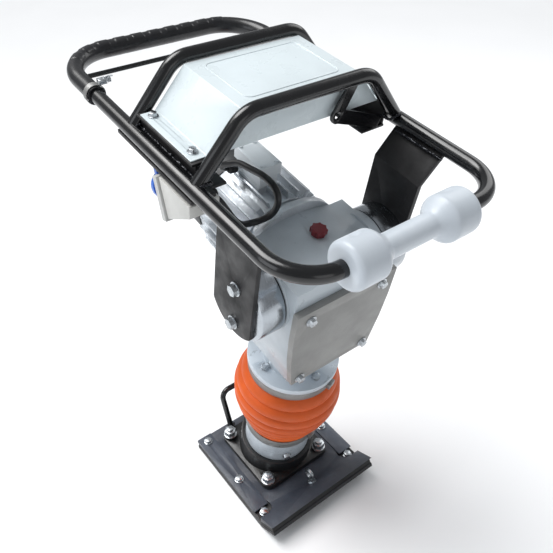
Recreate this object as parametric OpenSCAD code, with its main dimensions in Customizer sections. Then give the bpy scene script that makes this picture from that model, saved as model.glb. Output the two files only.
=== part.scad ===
// Electric jumping jack rammer for compacting soil.
// World frame: +Z up, the toe of the shoe points to -Y, and the origin lies on the sole, where the
// axis of the leg meets it. The machine is drawn along its leaning leg and then tipped by lean.

/* [Stance] */
// Forward lean of the leg from the vertical, in degrees
lean = 11; // [8:0.5:13]
// Downward slope of the guiding frame to the rear, measured from square to the leg, in degrees
frame_slope = 3.2; // [2.8:0.1:3.6]

/* [Shoe] */
// Width of the shoe
shoe_w = 280; // [270:1:300]
// Flat length of the sole behind the leg axis
sole_back = 115; // [112:1:125]
// Flat length of the sole ahead of the leg axis
sole_front = 145; // [135:1:155]
// Length of the turned-up toe
toe_len = 57; // [45:1:65]
// Angle of the turned-up toe, in degrees
toe_angle = 33; // [25:1:38]
// Thickness of the steel sole plate
sole_t = 8; // [6:0.5:9]
// Thickness of the laminated board above it
board_t = 10; // [8:0.5:12]
// Thickness of the steel deck plate
deck_t = 5; // [4:0.5:6]
// Thickness of the two side strips
strip_t = 3; // [2:0.5:4]
// Width of the two side strips
strip_w = 36; // [30:1:38]

/* [Leg] */
// Outer radius of the foot cylinder
foot_r = 72.5; // [70:0.5:75]
// Height of the black collar of the foot casting along the leg
collar_top = 90; // [80:1:95]
// Height of the lower cuff of the bellows along the leg
cuff_low = 154; // [150:1:158]
// Height of the underside of the guide flange along the leg
flange_low = 386; // [384:1:388]
// Radius of the guide flange
flange_r = 89.5; // [86:0.5:92]
// Largest radius of the bellows
bellows_r = 110; // [104:1:112]
// Outer radius of the spring cylinder
spring_cyl_r = 50; // [49:0.5:51]
// Outer radius of the guide tube
guide_r = 60; // [59:0.5:62]

/* [Crankcase] */
// Half width of the crankcase
case_x = 101; // [99:1:103]
// Front face of the crankcase ahead of the leg axis
case_front = 80; // [78:1:82]
// Rear face of the crankcase behind the leg axis
case_back = 55; // [55:1:57]
// Underside of the crankcase along the leg
case_low = 467; // [465:1:470]
// Shoulder of the crankcase along the leg
case_high = 700; // [698:1:702]
// Thickness of the cast walls
wall = 8; // [7:0.5:9]
// Height of the buffer axis along the leg
buffer_s = 642; // [640:1:644]
// Radius of the side bosses
boss_r = 64; // [62:1:65]
// Reach of the side bosses from the middle
boss_x = 105; // [104:1:106]

/* [Drive] */
// Height of the crank axis along the leg
crank_s = 556; // [554:1:558]
// Throw of the crank, half the stroke
throw = 20; // [16:1:20]
// Length of the connecting rod between centres
rod_len = 142; // [140:1:144]
// Gear module
gear_m = 2; // [2:0.25:2]
// Teeth on the motor pinion
pinion_z = 17; // [17:1:17]
// Teeth on the crank gear
gear_z = 57; // [57:1:57]

/* [Motor] */
// Radius of the motor housing under its fins
motor_r = 84; // [82:1:86]
// Radius over the cooling fins
fin_r = 96; // [92:1:97]
// Number of cooling fins
fin_n = 28; // [20:4:32]
// Length of the finned housing
motor_len = 110; // [100:5:115]

/* [Guiding frame] */
// Outer radius of the frame tube
tube_r = 12; // [11:0.5:12.5]
// Outer radius of the hoop tubes
hoop_r = 11; // [10:0.5:12]
// Distance of each rail from the middle
rail_x = 190; // [185:1:195]
// Height of the frame plane on the leg axis
rail_s = 836; // [832:1:840]
// Distance of the front crossbar ahead of the leg axis
bar_front = 163; // [160:1:168]
// Distance of the rear handle bar behind the leg axis
bar_back = 500; // [480:1:510]
// Height of the hoops above the frame plane
hoop_high = 93; // [90:1:98]
// Place of the front hoop behind the leg axis
hoop_front = 60; // [56:1:62]
// Place of the rear hoop behind the leg axis
hoop_back = 237; // [230:1:240]

/* [Hood] */
// Half width of the top panel
hood_top_x = 106; // [100:1:110]
// Half width at the foot of the sloping sides
hood_low_x = 158; // [154:1:160]
// Height of the top panel above the frame plane
hood_high = 89; // [86:1:90]
// Height of the mounting flanges above the frame plane
hood_low = 29; // [27:1:31]
// Sheet thickness
sheet_t = 2; // [1.5:0.5:2]

/* [Roller] */
// Radius of the end flanges of the roller
roller_r = 34; // [32:1:36]
// Radius of the slim middle of the roller
roller_mid_r = 18; // [16:1:20]
// Half length of the roller
roller_half = 109; // [105:1:109]

/* [Hidden] */
$fn = 64;

gap = 0.3;
running = 0.05;

shoe_top = sole_t + board_t + deck_t;
strip_top = shoe_top + strip_t;
bolt_x = 121;
bolt_y = [97, -34, -129];
stud_x = 73;
stud_y = [72, -80];
casting_t = 13;
casting_top = shoe_top + casting_t;
clamp_w = 22;
cuff_t = 2.7;
spigot_r = 79.5;
upper_cuff_r = 84.5;
cylinder_top = 179;
tab_t = 6;
bail_lean = 18.7;
ramp_from = -120;
ramp_rise = atan2(31, 67);
bail_high = 99;
bail_bend = 20;
spring_low = 62;
spring_high = 318;
spring_bore = spring_cyl_r - 6;
piston_low = 165;
piston_t = 20;
cap_t = 18;
ram_r = 12.5;
guide_low = 200;
guide_bore = spring_cyl_r + 4;
flange_t = 12;
fork_low = 322;
fork_slot = 334;
fork_top = 412;
bell_r = motor_r - 4;
crest = case_high + 11;
cheek_in = 12.5;
cheek_out = 20.5;

gear_c = gear_m * (pinion_z + gear_z) / 2;
motor_s = crank_s + gear_c;
journal_r = 15;
pin_r = 14;
web_r = 42;
web_in = 12;
web_out = 20;
gear_low = 22;
gear_t = 14;
bearing_r = 31;
bearing_w = 16;
shaft_r = 12;
seal_r = 20;
wrist_s = crank_s - throw - rod_len;

flange_back = case_back + 12;
bell_back = flange_back + 20;
housing_back = bell_back + motor_len;
rear_bell_back = housing_back + 13;
fan_back = rear_bell_back + 42;
box_from = 123;
core_r = 48;
stator_r = 78;
motor_bearing_r = 22;

front_bend = 68;
roller_x = -12;
back_bend = 85;
hoop_bend = 45;
leg_angle = 50;
hoop_corner = rail_x - hoop_high / tan(leg_angle);
hoop_tangent = hoop_bend * tan(leg_angle / 2);
plate_in = 150;
plate_t = 8;
plate_front = -50;
plate_back = 50;
plate_bend = 780;
cup_in = 108;
cup_r = 63;
buffer_t = -7;
cover_t = 12;
cover_top = 662;
sleeve_r = 16;
sleeve_left = 352;
sleeve_right = 400;
hood_front = 78;
hood_back = 222;
hood_bolt_t = [98, 206];

box_left = -202;
box_right = -152;
box_mid = (box_left + box_right) / 2;
lid_tilt = 18.7;
lid_foot = [118, -85];
lid_t = 11;
inlet_z = 40;
inlet_r = 21;
button_z = 12;

// Everything on the leg: x stays, y runs square to the leg to the rear, z runs up the leg.
module leg_frame() {
    rotate([lean, 0, 0]) children();
}

// The plane of the guiding frame's tube, with z measured from the tube's centreline.
module deck_frame() {
    leg_frame() translate([0, 0, rail_s]) rotate([-frame_slope, 0, 0]) children();
}

module both_sides() {
    children();
    mirror([1, 0, 0]) children();
}

// A cylinder along the fore-and-aft axis, from one place to another.
module along(from, to, r) {
    translate([0, from, 0]) rotate([-90, 0, 0]) cylinder(h = to - from, r = r);
}

module ring(low, high, inner, outer) {
    translate([0, 0, low]) difference() {
        cylinder(h = high - low, r = outer);
        translate([0, 0, -1]) cylinder(h = high - low + 2, r = inner);
    }
}

module ring_along(from, to, inner, outer) {
    difference() {
        along(from, to, outer);
        along(from - 1, to + 1, inner);
    }
}

// A hexagon bolt head on its washer, standing on z = 0, with its shank below.
module hex_bolt(flat, head, washer, shank_r, shank) {
    cylinder(h = head * 0.25, r = washer);
    translate([0, 0, head * 0.25]) cylinder(h = head, r = flat / sqrt(3), $fn = 6);
    translate([0, 0, -shank]) cylinder(h = shank + 1, r = shank_r);
}

// Points of one involute tooth at radius r: the half angle of the tooth there.
function roll(r, base) = sqrt(max(0, pow(r / base, 2) - 1));
function half_angle(r, base, start) = start - (roll(r, base) * 180 / PI - atan(roll(r, base)));
function polar(r, a) = [r * cos(a), r * sin(a)];

function gear_points(z, phase) = let(
    pitch = gear_m * z / 2,
    base = pitch * cos(20),
    root = pitch - 1.25 * gear_m,
    tip = pitch + gear_m,
    play = 0.12 / pitch * 180 / PI,
    start = 90 / z + (tan(20) * 180 / PI - 20) - play,
    low = max(root, base),
    steps = 4
) [
    for (i = [0 : z - 1]) let(at = phase + 360 * i / z) each concat(
        [polar(root, at - half_angle(low, base, start))],
        [for (k = [0 : steps]) let(r = low + (tip - low) * k / steps)
            polar(r, at - half_angle(r, base, start))],
        [for (k = [steps : -1 : 0]) let(r = low + (tip - low) * k / steps)
            polar(r, at + half_angle(r, base, start))],
        [polar(root, at + half_angle(low, base, start))]
    )
];

// A toothed wheel along the fore-and-aft axis. In this drawing plane, 90 degrees points up the leg.
module gear(z, phase, from, thick, bore) {
    translate([0, from + thick, 0]) rotate([90, 0, 0]) difference() {
        linear_extrude(height = thick) polygon(gear_points(z, phase));
        translate([0, 0, -1]) cylinder(h = thick + 2, r = bore);
    }
}

// ---------------------------------------------------------------- shoe

// Side outline of one layer of the shoe, from height low to height high, with the toe turned up.
module shoe_layer(low, high, half_w, back, toe) {
    tip = [-sole_front - toe * cos(toe_angle), toe * sin(toe_angle)];
    kink = tan(toe_angle / 2);
    slant = [-sin(toe_angle), cos(toe_angle)];
    rotate([90, 0, 90]) translate([0, 0, -half_w]) linear_extrude(height = 2 * half_w) polygon([
        [back, low],
        [-sole_front + low * kink, low],
        [tip[0] - low * slant[0], tip[1] + low * slant[1]],
        [tip[0] - high * slant[0], tip[1] + high * slant[1]],
        [-sole_front + high * kink, high],
        [back, high]
    ]);
}

module sole_plate() {
    color("#26272b") difference() {
        shoe_layer(0, sole_t, shoe_w / 2, sole_back, toe_len);
        shoe_bolt_holes();
    }
}

module shoe_board() {
    color("#15161a") difference() {
        shoe_layer(sole_t, sole_t + board_t, shoe_w / 2 - 1, sole_back - 1, toe_len - 1);
        shoe_bolt_holes();
    }
}

// The deck thickens into a ramp over the toe, and is cut away round the front bolts.
module shoe_deck() {
    color("#5f6670") difference() {
        union() {
            shoe_layer(sole_t + board_t, shoe_top, shoe_w / 2, sole_back, toe_len);
            rotate([90, 0, 90]) translate([0, 0, -shoe_w / 2]) linear_extrude(height = shoe_w)
                polygon([[ramp_from, shoe_top - 2], [-139, shoe_top - 2], [-180, 47], [-187, 54],
                    [ramp_from, shoe_top]]);
        }
        shoe_bolt_holes();
        both_sides() translate([bolt_x, bolt_y[2] + 7, sole_t + board_t]) {
            cylinder(h = 40, r = 21);
            translate([0, -21, 0]) cube([40, 27, 40]);
        }
        both_sides() for (y = stud_y) translate([stud_x, y, sole_t + board_t - 1])
            cylinder(h = deck_t + 2, r = 8.1);
        eye_place() translate([0, 0, -7]) cylinder(h = 8, r = 4.2);
    }
}

module shoe_bolt_holes() {
    both_sides() for (y = bolt_y) translate([bolt_x, y, -1]) cylinder(h = 40, r = 5.2);
}

module shoe_strips() {
    color("#6a717b") both_sides() difference() {
        translate([shoe_w / 2 - strip_w, ramp_from, shoe_top])
            cube([strip_w, sole_back - ramp_from, strip_t]);
        for (y = bolt_y) translate([bolt_x, y, shoe_top - 1]) cylinder(h = strip_t + 2, r = 5.2);
    }
}

module shoe_bolts() {
    color("#c9ccd0") both_sides() for (i = [0 : 2]) let(top = i < 2 ? strip_top : sole_t + board_t)
        translate([bolt_x, bolt_y[i], 0]) union() {
            translate([0, 0, 1]) cylinder(h = top - 1, r = 5);
            translate([0, 0, top]) cylinder(h = 2, r = 10);
            translate([0, 0, top + 2]) rotate([0, 0, 20]) cylinder(h = 6, r = 8.5, $fn = 6);
        }
}

module foot_casting() {
    color("#17181b") difference() {
        union() {
            translate([0, 0, shoe_top]) linear_extrude(height = casting_t) casting_plan();
            intersection() {
                leg_frame() cylinder(h = collar_top, r = 82);
                translate([-100, -140, shoe_top]) cube([200, 260, 120]);
            }
        }
        leg_frame() translate([0, 0, 45]) cylinder(h = 100, r = foot_r);
        both_sides() for (y = stud_y) translate([stud_x, y, shoe_top - 1])
            cylinder(h = casting_t + 2, r = 8.1);
    }
}

module casting_plan() {
    hull() {
        both_sides() for (y = stud_y) translate([stud_x - 2, y]) circle(r = 18);
    }
}

module foot_nuts() {
    color("#c9ccd0") both_sides() for (i = [0, 1]) let(rise = i == 0 ? tab_t : 0)
        translate([stud_x, stud_y[i], 0]) union() {
            translate([0, 0, sole_t + board_t])
                cylinder(h = casting_top - sole_t - board_t + 22 + rise, r = 8);
            translate([0, 0, casting_top + rise]) cylinder(h = 3, r = 15);
            translate([0, 0, casting_top + 3 + rise]) rotate([0, 0, 15])
                cylinder(h = 13, r = 13.5, $fn = 6);
        }
}

module foot_cylinder() {
    color("#c4c7ca") leg_frame() difference() {
        translate([0, 0, 45]) cylinder(h = cylinder_top - 45, r = foot_r);
        translate([0, 0, spring_low]) cylinder(h = 200, r = 66);
        translate([0, 0, 40]) cylinder(h = 40, r = 30);
        drain_place() cylinder(h = 30, r = 6.05, center = true);
    }
}

module drain_place() {
    rotate([0, 0, -112]) translate([foot_r, 0, 112]) rotate([0, 90, 0]) children();
}

module drain_plug() {
    color("#b9bcc0") leg_frame() drain_place() union() {
        translate([0, 0, -6]) cylinder(h = 7, r = 6);
        translate([0, 0, 0.5]) cylinder(h = 1.5, r = 10);
        translate([0, 0, 2]) cylinder(h = 6, r = 8, $fn = 6);
    }
}

// The bent lifting bail behind the leg: two flattened feet under the rear nuts, joined by a bar.
module lifting_bail() {
    foot = [stud_x - 15, stud_y[0] + 20, casting_top + 3];
    color("#101114") difference() {
        union() {
            translate(foot - [foot[0], 0, 0]) rotate([-bail_lean, 0, 0]) both_sides() {
                translate([foot[0], 0, 0]) cylinder(h = bail_high - bail_bend, r = 6.5);
                translate([foot[0] - bail_bend, 0, bail_high - bail_bend]) rotate([90, 0, 0])
                    rotate_extrude(angle = 90) translate([bail_bend, 0]) circle(r = 6.5);
            }
            translate(foot - [foot[0], 0, 0]) rotate([-bail_lean, 0, 0])
                translate([bail_bend - foot[0], 0, bail_high]) rotate([0, 90, 0])
                    cylinder(h = 2 * (foot[0] - bail_bend), r = 6.5);
            both_sides() translate([stud_x, stud_y[0], casting_top]) linear_extrude(height = tab_t) union() {
                circle(r = 15);
                rotate(127) translate([0, -9]) square([35, 18]);
            }
        }
        both_sides() translate([stud_x, stud_y[0], casting_top - 10]) cylinder(h = 30, r = 8.1);
        translate([-120, 0, shoe_top]) cube([240, 140, casting_t]);
    }
}

// Along the normal of the toe ramp, from the place of the eye bolt.
module eye_place() {
    translate([3, ramp_from - 21, shoe_top + 21 * tan(ramp_rise)]) rotate([-ramp_rise, 0, 0]) children();
}

// An eye bolt on the toe, for a lifting strap.
module shoe_eye() {
    color("#b5b8bb") eye_place() union() {
        translate([0, 0, -6]) cylinder(h = 7, r = 4);
        translate([0, 0, 0.1]) cylinder(h = 2, r = 10);
        translate([0, 0, 2]) cylinder(h = 7, r = 8.5, $fn = 6);
        translate([0, 0, 8]) cylinder(h = 3, r = 4);
        translate([0, 0, 20]) rotate([90, 0, 90]) rotate_extrude() translate([10, 0]) circle(r = 3.6);
    }
}

// ---------------------------------------------------------------- leg, lower half

module spring_cylinder() {
    color("#a9adb1") leg_frame() difference() {
        translate([0, 0, spring_low]) cylinder(h = spring_high - spring_low, r = spring_cyl_r);
        translate([0, 0, spring_low + 14]) cylinder(h = 300, r = spring_bore);
    }
}

module spring_cap() {
    color("#8f9397") leg_frame()
        ring(spring_high - cap_t, spring_high - 2, ram_r + running, spring_bore);
}

module lower_spring() {
    color("#3d4248") leg_frame() ring(spring_low + 14, piston_low, 28, 41);
}

module upper_spring() {
    color("#3d4248") leg_frame()
        ring(piston_low + piston_t, spring_high - cap_t, 26, 39);
}

// The bellows: a cuff at each end and a barrel of folds between. u runs from 0 at the bottom to 1.
folds = 7;
fold_depth = 4;
function barrel(u) = 79 + (bellows_r - 79) * sin(162 * pow(u, 1.23));

module bellows() {
    low = cuff_low + 26;
    high = flange_low - 26;
    steps = folds * 2;
    outer = [for (i = [0 : steps]) let(u = i / steps)
        [barrel(u) - (i % 2 == 0 ? fold_depth : 0), low + (high - low) * u]];
    color("#d4550f") leg_frame() rotate_extrude() polygon(concat(
        [[foot_r + gap, cuff_low], [foot_r + cuff_t, cuff_low]],
        outer,
        [[upper_cuff_r, high + 1], [upper_cuff_r, flange_low - gap], [spigot_r + gap, flange_low - gap],
            [spigot_r + gap, high - 2]],
        [for (i = [steps - 1 : -1 : 1]) outer[i] - [4, 0]],
        [[foot_r + gap, low]]
    ));
}

module clamp_band(low, r) {
    leg_frame() union() {
        ring(low, low + clamp_w, r, r + 2);
        rotate([0, 0, -72]) translate([r + 1, -9, low + 4]) cube([8, 18, clamp_w - 8]);
    }
}

module lower_clamp() {
    color("#8d8f91") clamp_band(cuff_low + 2, foot_r + cuff_t + gap);
}

// ---------------------------------------------------------------- leg, upper half

module guide_cylinder() {
    color("#c4c7ca") leg_frame() difference() {
        union() {
            translate([0, 0, guide_low]) cylinder(h = case_low - guide_low, r = guide_r);
            translate([0, 0, flange_low]) cylinder(h = flange_t, r = flange_r);
            translate([0, 0, flange_low - 28]) cylinder(h = 29, r = spigot_r);
            translate([0, 0, case_low - 12]) cylinder(h = 12, r = 80);
            translate([0, 0, case_low - 1]) cylinder(h = 6, r = guide_r - 0.5);
        }
        translate([0, 0, guide_low - 1]) cylinder(h = 400, r = guide_bore);
        ring(flange_low - 29, flange_low, guide_r, spigot_r - 6);
        collar_places() translate([0, 0, -flange_t - 1]) cylinder(h = flange_t + 2, r = 4.1);
    }
}

module collar_places() {
    for (a = [0 : 90 : 270]) rotate([0, 0, a]) translate([69, 0, flange_low + flange_t]) children();
}

module guide_bushes() {
    color("#b08d4c") leg_frame() for (low = [guide_low + 3, guide_low + 43])
        ring(low, low + 20, spring_cyl_r + running, guide_bore);
}

module upper_clamp() {
    color("#8d8f91") clamp_band(flange_low - clamp_w - 2, upper_cuff_r + gap);
}

// ---------------------------------------------------------------- crankcase

// A slab across the machine, drawn in x and s, from one place along t to another.
module slab(from, to) {
    translate([0, to, 0]) rotate([90, 0, 0]) linear_extrude(height = to - from) children();
}

// Outline of the case from the front: narrow at the foot, upright at the shoulders.
module case_outline(grow, low, high) {
    polygon([
        [-86 - grow, low], [86 + grow, low], [97 + grow, 545], [case_x + grow, 600],
        [case_x + grow, high], [-case_x - grow, high], [-case_x - grow, 600], [-97 - grow, 545]
    ]);
}

module crankcase() {
    color("#c9d0d6") leg_frame() difference() {
        union() {
            difference() {
                union() {
                    slab(-case_front, case_back) case_outline(0, case_low, case_high);
                    // The crowned top is a shallow arc across the width.
                    intersection() {
                        translate([0, 0, crest - 250]) along(-case_front, case_back, 250);
                        translate([-case_x, -case_front, case_high - 1])
                            cube([2 * case_x, case_front + case_back, 20]);
                    }
                    both_sides() translate([case_x - wall - 4, buffer_t, buffer_s]) rotate([0, 90, 0])
                        cylinder(h = boss_x - case_x + wall + 4, r = boss_r);
                }
                slab(-case_front - 1, -case_front + wall + 1)
                    case_outline(-wall, case_low + wall + 4, cover_top - 10);
                slab(-case_front + wall, case_back - wall)
                    case_outline(-wall, case_low + wall + 4, case_high - wall - 3);
                translate([-boss_x - 1, case_back, case_low]) cube([2 * boss_x + 2, 20, 250]);
            }
            cover_places() translate([0, 0, -34]) cylinder(h = 34 - cover_t, r = 9);
            both_sides() translate([75, -case_front, 635]) cube([20, 22, 10]);
        }
        translate([0, 0, case_low - 1]) cylinder(h = 40, r = guide_bore + 1);
        translate([0, 0, case_low - 1]) cylinder(h = 6, r = guide_r);
        translate([0, 0, crank_s]) along(case_back - wall - 1, case_back + 1, bearing_r);
        translate([0, 0, motor_s]) along(case_back - wall - 1, case_back + 1, seal_r);
        translate([0, 0, case_high - wall - 6]) cylinder(h = 40, r = 9.1);
        cover_places() translate([0, 0, -30]) cylinder(h = 40, r = 4.1);
        flange_places() translate([0, 0, -20]) cylinder(h = 22, r = 4.1);
    }
}

// Bolts of the front cover, seen from the front: the places lie on the cover's outer face.
module cover_places() {
    both_sides() for (at = [[72, 484], [75, 640]])
        translate([at[0], -case_front - cover_t, at[1]]) rotate([90, 0, 0]) children();
}

// Bolts of the motor flange, on its rear face.
module flange_places() {
    for (a = [45 : 90 : 315]) translate([0, flange_back, motor_s]) rotate([0, a, 0])
        translate([90, 0, 0]) rotate([-90, 0, 0]) children();
}

module front_cover() {
    color("#5d5b59") leg_frame() difference() {
        union() {
            slab(-case_front - cover_t, -case_front) case_outline(2, case_low + 6, cover_top);
            translate([0, 0, crank_s]) along(-case_front - 4, -case_front + 25, bearing_r + 7);
        }
        translate([0, 0, crank_s]) along(-case_front + 9, -case_front + 26, bearing_r);
        cover_places() translate([0, 0, -15]) cylinder(h = 30, r = 4.1);
        translate([-case_x - 20, -case_front, 400]) difference() {
            cube([2 * case_x + 40, 30, 400]);
            translate([case_x + 20, -1, crank_s - 400]) rotate([-90, 0, 0])
                cylinder(h = 40, r = bearing_r + 7);
        }
    }
}

module case_bolts() {
    color("#c9ccd0") leg_frame() {
        cover_places() hex_bolt(13, 6, 10, 4, 22);
        flange_places() hex_bolt(13, 6, 8, 4, 18);
        collar_places() hex_bolt(13, 6, 8, 4, flange_t);
    }
}

module oil_cap() {
    color("#7a1620") leg_frame() translate([0, 0, crest]) union() {
        translate([0, 0, -13]) cylinder(h = 14, r = 9);
        cylinder(h = 4, r = 10.5);
        translate([0, 0, 4]) cylinder(h = 8, r = 12.5);
        for (a = [0 : 45 : 315]) rotate([0, 0, a]) translate([12, 0, 4]) cylinder(h = 8, r = 2.4);
    }
}

// Two bearings on the crank and two on the motor shaft.
module ball_bearings() {
    color("#9aa0a6") leg_frame() {
        for (from = [-case_front + 9, case_back - bearing_w]) translate([0, 0, crank_s])
            ring_along(from, from + bearing_w, journal_r + running, bearing_r);
        for (from = [flange_back + 4, housing_back - 1]) translate([0, 0, motor_s])
            ring_along(from, from + 12, shaft_r + running, motor_bearing_r);
    }
}

module oil_seal() {
    color("#6b3a1d") leg_frame() translate([0, 0, motor_s])
        ring_along(case_back - wall, case_back, shaft_r + running, seal_r);
}

// ---------------------------------------------------------------- motor

module motor_flange() {
    color("#8b9094") leg_frame() translate([0, 0, motor_s]) difference() {
        union() {
            along(case_back, flange_back, 100);
            along(flange_back - 1, bell_back, bell_r);
        }
        along(flange_back + 4, bell_back + 1, motor_bearing_r);
        along(case_back - 1, bell_back + 1, 16);
        ring_along(flange_back + 8, bell_back + 1, motor_bearing_r + 8, bell_r - 8);
        translate([0, 0, -motor_s]) flange_places() translate([0, 0, -30]) cylinder(h = 40, r = 4.1);
    }
}

module motor_housing() {
    color("#c3c9ce") leg_frame() translate([0, 0, motor_s]) difference() {
        union() {
            along(bell_back, housing_back, motor_r);
            for (i = [0 : fin_n - 1]) rotate([0, 360 * (i + 0.5) / fin_n, 0])
                translate([motor_r - 2, bell_back + 4, -1.6]) cube([fin_r - motor_r + 2, motor_len - 8, 3.2]);
            both_sides() rotate([0, 59, 0]) translate([-fin_r - 4, bell_back + 2, -5])
                cube([22, motor_len - 4, 10]);
            translate([-29, box_from, 70]) cube([40, 68, 24]);
        }
        along(bell_back - 1, housing_back + 1, stator_r);
        translate([-33, box_from - 4, 94]) cube([48, 76, 20]);
    }
}

module motor_rear_bell() {
    color("#8b9094") leg_frame() translate([0, 0, motor_s]) difference() {
        along(housing_back, rear_bell_back, motor_r);
        along(housing_back - 1, housing_back + 11, motor_bearing_r);
        along(housing_back - 1, rear_bell_back + 1, 16);
    }
}

module fan_cover() {
    color("#3a3d41") leg_frame() translate([0, 0, motor_s]) difference() {
        along(rear_bell_back, fan_back, motor_r + 2);
        along(rear_bell_back - 1, fan_back - 2, motor_r);
        for (r = [22 : 12 : 70]) for (a = [0 : 45 : 315]) rotate([0, a, 0])
            translate([r, fan_back - 5, -r * 0.18]) cube([5, 8, r * 0.36 + 4]);
    }
}

module stator() {
    color("#8a5a33") leg_frame() translate([0, 0, motor_s])
        ring_along(bell_back + 8, housing_back - 8, core_r + 0.6, stator_r);
}

module terminal_box() {
    color("#c3c9ce") leg_frame() translate([-27, box_from, motor_s + 94]) difference() {
        union() {
            cube([36, 68, 22]);
            translate([-10, 58, 12]) rotate([0, 90, 0]) cylinder(h = 11, r = 8);
        }
        translate([3, 3, 3]) cube([30, 62, 30]);
        translate([-11, 58, 12]) rotate([0, 90, 0]) cylinder(h = 15, r = cable_r + 0.4);
    }
}

module terminal_lid() {
    color("#dfe3e6") leg_frame() translate([-30, box_from - 3, motor_s + 116]) union() {
        cube([42, 74, 20]);
        for (x = [7, 35]) for (y = [7, 67]) translate([x, y, 19]) cylinder(h = 3, r = 3.5);
    }
}

// ---------------------------------------------------------------- buffers

module buffer_rubbers() {
    color("#101013") leg_frame() both_sides() translate([boss_x, buffer_t, buffer_s])
        rotate([0, 90, 0]) union() {
        cylinder(h = cup_in - boss_x - gap, r = boss_r - 3);
        cylinder(h = plate_in - boss_x - 4 - gap, r = cup_r - 4 - gap);
    }
}

module buffer_cups() {
    color("#aeb4ba") leg_frame() both_sides() translate([cup_in, buffer_t, buffer_s]) rotate([0, 90, 0])
        difference() {
            cylinder(h = plate_in - cup_in, r = cup_r);
            translate([0, 0, -1]) cylinder(h = plate_in - cup_in - 3, r = cup_r - 4);
            for (x = [-39, 39]) translate([x, 0, 20]) cylinder(h = 30, r = 5.1);
        }
}

// ---------------------------------------------------------------- crank and rods

module crankshaft() {
    color("#8f959b") leg_frame() translate([0, 0, crank_s]) union() {
        along(-case_front + 11, -web_in, journal_r);
        along(web_in, case_back - 1, journal_r);
        for (from = [-web_out, web_in]) intersection() {
            union() {
                along(from, from + web_out - web_in, web_r);
                translate([0, 0, -throw]) along(from, from + web_out - web_in, pin_r + 8);
            }
            along(from, from + web_out - web_in, web_r);
        }
        translate([0, 0, -throw]) along(-web_in - 1, web_in + 1, pin_r);
    }
}

module crank_gear() {
    color("#70757a") leg_frame() translate([0, 0, crank_s])
        gear(gear_z, 90 + 180 / gear_z, gear_low, gear_t, journal_r);
}

module rotor_shaft() {
    color("#8f959b") leg_frame() translate([0, 0, motor_s]) union() {
        gear(pinion_z, 270, gear_low - 2, gear_t + 4, 5);
        along(gear_low - 4, gear_low + gear_t + 3, 11);
        along(gear_low + gear_t + 2, housing_back + 12, shaft_r);
        along(housing_back + 11, fan_back - 16, 9);
        along(bell_back + 8, housing_back - 8, core_r);
    }
}

module cooling_fan() {
    color("#2b2d30") leg_frame() translate([0, 0, motor_s]) difference() {
        union() {
            along(rear_bell_back + 6, rear_bell_back + 10, 70);
            along(rear_bell_back + 6, rear_bell_back + 26, 18);
            for (i = [0 : 7]) rotate([0, 45 * i, 0]) translate([14, rear_bell_back + 8, -1.5])
                cube([56, 20, 3]);
        }
        along(rear_bell_back, fan_back, 9);
    }
}

module connecting_rod() {
    color("#7c8288") leg_frame() translate([0, 0, wrist_s]) difference() {
        union() {
            translate([0, 0, rod_len]) along(-11, 11, pin_r + 10);
            along(-11, 11, 18);
            along(-11.8, 11.8, 9);
            translate([-9, -7, 10]) cube([18, 14, rod_len - 28]);
        }
        translate([0, 0, rod_len]) along(-12, 12, pin_r + running);
        for (y = [-9, 4]) translate([-5, y, 22]) cube([10, 5, rod_len - 52]);
    }
}

module ram_rod() {
    color("#8f959b") leg_frame() union() {
        translate([0, 0, piston_low + piston_t])
            cylinder(h = fork_low - piston_low - piston_t + 1, r = ram_r);
        translate([0, 0, piston_low - 14]) cylinder(h = piston_t + 16, r = 10);
        translate([0, 0, piston_low - 14]) cylinder(h = 14, r = 16, $fn = 6);
        difference() {
            translate([-17, -cheek_out, fork_low]) cube([34, 2 * cheek_out, fork_top - fork_low]);
            translate([-18, -cheek_in, fork_slot]) cube([36, 2 * cheek_in, 100]);
            translate([0, 0, wrist_s]) along(-cheek_out - 1, cheek_out + 1, 9);
        }
    }
}

module ram_piston() {
    color("#9aa0a6") leg_frame() ring(piston_low, piston_low + piston_t, 10, spring_bore - gap);
}

// ---------------------------------------------------------------- guiding frame

// The closed tube: two rails, a bent front crossbar inside the roller and a bent rear handle.
module loop_tube(r) {
    both_sides() {
        translate([rail_x, 0, 0]) along(-bar_front + front_bend, bar_back - back_bend, r);
        translate([rail_x - front_bend, -bar_front + front_bend, 0]) rotate([0, 0, -90])
            rotate_extrude(angle = 90) translate([front_bend, 0]) circle(r = r);
        translate([rail_x - back_bend, bar_back - back_bend, 0])
            rotate_extrude(angle = 90) translate([back_bend, 0]) circle(r = r);
    }
    crossbar(-bar_front, rail_x - front_bend, r);
    crossbar(bar_back, rail_x - back_bend, r);
}

module crossbar(at, half, r) {
    translate([-half, at, 0]) rotate([0, 90, 0]) cylinder(h = 2 * half, r = r);
}

module rail_cut() {
    both_sides() translate([rail_x, 0, 0]) along(-60, bar_back - back_bend, tube_r);
}

module frame_loop() {
    color("#15161b") deck_frame() loop_tube(tube_r);
}

module hoop_half(at) {
    leg = hoop_high / sin(leg_angle) - hoop_tangent - tube_r + 5;
    translate([hoop_corner - hoop_tangent, at, hoop_high - hoop_bend]) rotate([90, 0, 0])
        rotate([0, 0, 90 - leg_angle]) {
            rotate_extrude(angle = leg_angle) translate([hoop_bend, 0]) circle(r = hoop_r - 0.1);
            translate([hoop_bend, 0, 0]) rotate([90, 0, 0]) cylinder(h = leg, r = hoop_r);
        }
}

module frame_hoops() {
    color("#15161b") deck_frame() {
        for (at = [hoop_front, hoop_back]) {
            both_sides() hoop_half(at);
            translate([0, 0, hoop_high]) crossbar(at, hoop_corner - hoop_tangent, hoop_r);
        }
        // The thin cross rod ahead of the handle bar.
        translate([0, 0, 5]) crossbar(410, rail_x - 8, 4);
    }
}

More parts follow.
